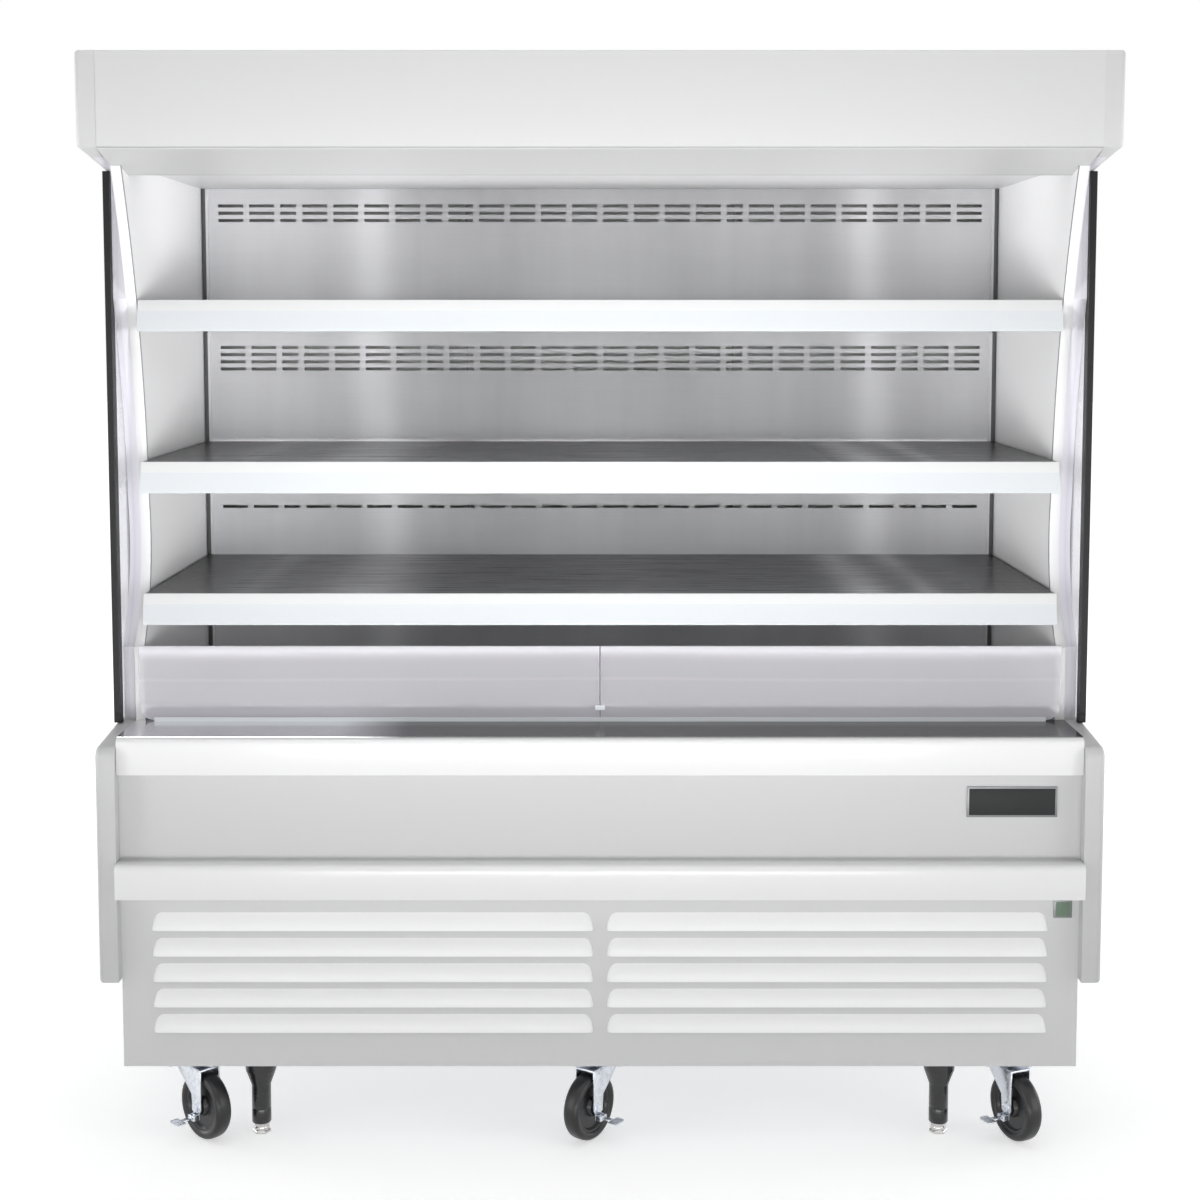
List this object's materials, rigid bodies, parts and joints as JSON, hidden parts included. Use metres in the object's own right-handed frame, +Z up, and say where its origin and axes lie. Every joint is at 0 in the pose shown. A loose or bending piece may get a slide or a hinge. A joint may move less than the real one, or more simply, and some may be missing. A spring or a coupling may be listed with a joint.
{
  "type": "open multideck display fridge",
  "caption": "Open-fronted upright display fridge on swivel casters, with shelves, a slotted back panel, a clear front guard, a deep canopy and a louvred machine base.",
  "frame": {"origin": "on the floor under the middle of the cabinet", "axes": "+Z up, +X to the right of someone facing the open front, +Y towards the back"},
  "size_m": [1.829, 0.889, 1.988],
  "materials": {
    "white_paint": "white powder-coated sheet steel",
    "grey_paint": "light grey powder-coated sheet steel",
    "liner_white": "white coated inner lining",
    "bumper_white": "gloss white bumper rail",
    "stainless": "brushed stainless sheet",
    "clear_acrylic": "clear acrylic, polished edges",
    "tempered_glass": "clear tempered glass",
    "black_trim": "black edge trim",
    "rail_white": "white ticket rail",
    "zinc": "zinc-plated steel",
    "black_rubber": "black wheel",
    "black_plastic": "black moulded leg sleeve",
    "chrome_foot": "chromed foot",
    "galvanised": "galvanised steel",
    "aluminium_fins": "aluminium fins and frame",
    "fan_plastic": "moulded fan"
  },
  "bodies": {
    "cabinet": {"base_frame": "galvanised", "base_pan": "galvanised", "machine_side_left": "grey_paint", "machine_side_right": "grey_paint", "louvre_panel": "grey_paint", "rear_grille": "grey_paint", "insulated_tub": "white_paint", "rear_wall": "white_paint", "roof_panel": "white_paint", "end_panel_left": "white_paint", "end_panel_right": "white_paint", "side_glass_left": "tempered_glass", "side_glass_right": "tempered_glass", "glass_trims": "black_trim", "side_liner_left": "liner_white", "side_liner_right": "liner_white", "front_panel": "grey_paint", "bumper_lower": "bumper_white", "bumper_upper": "bumper_white", "sill_cap": "stainless", "front_guard": "clear_acrylic", "guard_fittings": "stainless", "canopy_fascia": "white_paint", "canopy_valance": "white_paint", "ceiling_panel": "liner_white", "air_honeycomb": "liner_white", "inner_back_panel": "stainless", "shelf_1": "stainless", "shelf_2": "stainless", "shelf_3": "stainless", "price_rail_1": "rail_white", "price_rail_2": "rail_white", "price_rail_3": "rail_white", "deck_pan": "stainless", "return_air_grille": "stainless", "evaporator_unit": "aluminium_fins", "condensing_unit": "galvanised", "caster_plates": "zinc", "leg_sleeves": "black_plastic"},
    "evaporator_fan_left": {"evaporator_fan_left": "fan_plastic"},
    "evaporator_fan_right": {"evaporator_fan_right": "fan_plastic"},
    "condenser_fan": {"condenser_fan": "fan_plastic"},
    "caster_fork_1": {"caster_fork_1": "zinc"},
    "caster_wheel_1": {"caster_wheel_1": "black_rubber"},
    "brake_pedal_1": {"brake_pedal_1": "zinc"},
    "caster_fork_2": {"caster_fork_2": "zinc"},
    "caster_wheel_2": {"caster_wheel_2": "black_rubber"},
    "brake_pedal_2": {"brake_pedal_2": "zinc"},
    "caster_fork_3": {"caster_fork_3": "zinc"},
    "caster_wheel_3": {"caster_wheel_3": "black_rubber"},
    "brake_pedal_3": {"brake_pedal_3": "zinc"},
    "caster_fork_4": {"caster_fork_4": "zinc"},
    "caster_wheel_4": {"caster_wheel_4": "black_rubber"},
    "caster_fork_5": {"caster_fork_5": "zinc"},
    "caster_wheel_5": {"caster_wheel_5": "black_rubber"},
    "caster_fork_6": {"caster_fork_6": "zinc"},
    "caster_wheel_6": {"caster_wheel_6": "black_rubber"},
    "leg_foot_left": {"leg_foot_left": "chrome_foot"},
    "leg_foot_right": {"leg_foot_right": "chrome_foot"}
  },
  "joints": [
    {"name": "evaporator_fan_left_spin", "type": "hinge", "parent": "cabinet", "child": "evaporator_fan_left", "pos_m": [-0.4, -0.0915, 0.65], "axis": [0, 1, 0], "continuous": true},
    {"name": "evaporator_fan_right_spin", "type": "hinge", "parent": "cabinet", "child": "evaporator_fan_right", "pos_m": [0.4, -0.0915, 0.65], "axis": [0, 1, 0], "continuous": true},
    {"name": "condenser_fan_spin", "type": "hinge", "parent": "cabinet", "child": "condenser_fan", "pos_m": [-0.37, -0.2545, 0.319], "axis": [0, 1, 0], "continuous": true},
    {"name": "caster_1_swivel", "type": "hinge", "parent": "cabinet", "child": "caster_fork_1", "pos_m": [-0.76, -0.3345, 0.1427], "axis": [0, 0, 1], "continuous": true},
    {"name": "caster_1_roll", "type": "hinge", "parent": "caster_fork_1", "child": "caster_wheel_1", "pos_m": [-0.73482, -0.35881, 0.0625], "axis": [0.6947, 0.7193, 0], "continuous": true},
    {"name": "brake_1_press", "type": "hinge", "parent": "caster_fork_1", "child": "brake_pedal_1", "pos_m": [-0.75532, -0.38003, 0.0465], "axis": [0.7193, -0.6947, 0], "range_deg": [0, 18]},
    {"name": "caster_2_swivel", "type": "hinge", "parent": "cabinet", "child": "caster_fork_2", "pos_m": [0, -0.3345, 0.1427], "axis": [0, 0, 1], "continuous": true},
    {"name": "caster_2_roll", "type": "hinge", "parent": "caster_fork_2", "child": "caster_wheel_2", "pos_m": [-0.02057, -0.36282, 0.0625], "axis": [0.809, -0.5878, 0], "continuous": true},
    {"name": "brake_2_press", "type": "hinge", "parent": "caster_fork_2", "child": "brake_pedal_2", "pos_m": [0.00329, -0.38016, 0.0465], "axis": [0.5878, 0.809, 0], "range_deg": [0, 18]},
    {"name": "caster_3_swivel", "type": "hinge", "parent": "cabinet", "child": "caster_fork_3", "pos_m": [0.76, -0.3345, 0.1427], "axis": [0, 0, 1], "continuous": true},
    {"name": "caster_3_roll", "type": "hinge", "parent": "caster_fork_3", "child": "caster_wheel_3", "pos_m": [0.77424, -0.36647, 0.0625], "axis": [0.9135, 0.4067, 0], "continuous": true},
    {"name": "brake_3_press", "type": "hinge", "parent": "caster_fork_3", "child": "brake_pedal_3", "pos_m": [0.74729, -0.37847, 0.0465], "axis": [0.4067, -0.9135, 0], "range_deg": [0, 18]},
    {"name": "caster_4_swivel", "type": "hinge", "parent": "cabinet", "child": "caster_fork_4", "pos_m": [-0.76, 0.3345, 0.1427], "axis": [0, 0, 1], "continuous": true},
    {"name": "caster_4_roll", "type": "hinge", "parent": "caster_fork_4", "child": "caster_wheel_4", "pos_m": [-0.7425, 0.36481, 0.0625], "axis": [-0.866, 0.5, 0], "continuous": true},
    {"name": "caster_5_swivel", "type": "hinge", "parent": "cabinet", "child": "caster_fork_5", "pos_m": [0, 0.3345, 0.1427], "axis": [0, 0, 1], "continuous": true},
    {"name": "caster_5_roll", "type": "hinge", "parent": "caster_fork_5", "child": "caster_wheel_5", "pos_m": [0.00487, 0.36916, 0.0625], "axis": [-0.9903, 0.1392, 0], "continuous": true},
    {"name": "caster_6_swivel", "type": "hinge", "parent": "cabinet", "child": "caster_fork_6", "pos_m": [0.76, 0.3345, 0.1427], "axis": [0, 0, 1], "continuous": true},
    {"name": "caster_6_roll", "type": "hinge", "parent": "caster_fork_6", "child": "caster_wheel_6", "pos_m": [0.74521, 0.36622, 0.0625], "axis": [-0.9063, -0.4226, 0], "continuous": true},
    {"name": "leg_foot_left_adjust", "type": "slide", "parent": "cabinet", "child": "leg_foot_left", "axis": [0, 0, 1], "range_m": [0, 0.0145]},
    {"name": "leg_foot_right_adjust", "type": "slide", "parent": "cabinet", "child": "leg_foot_right", "axis": [0, 0, 1], "range_m": [0, 0.0145]}
  ]
}
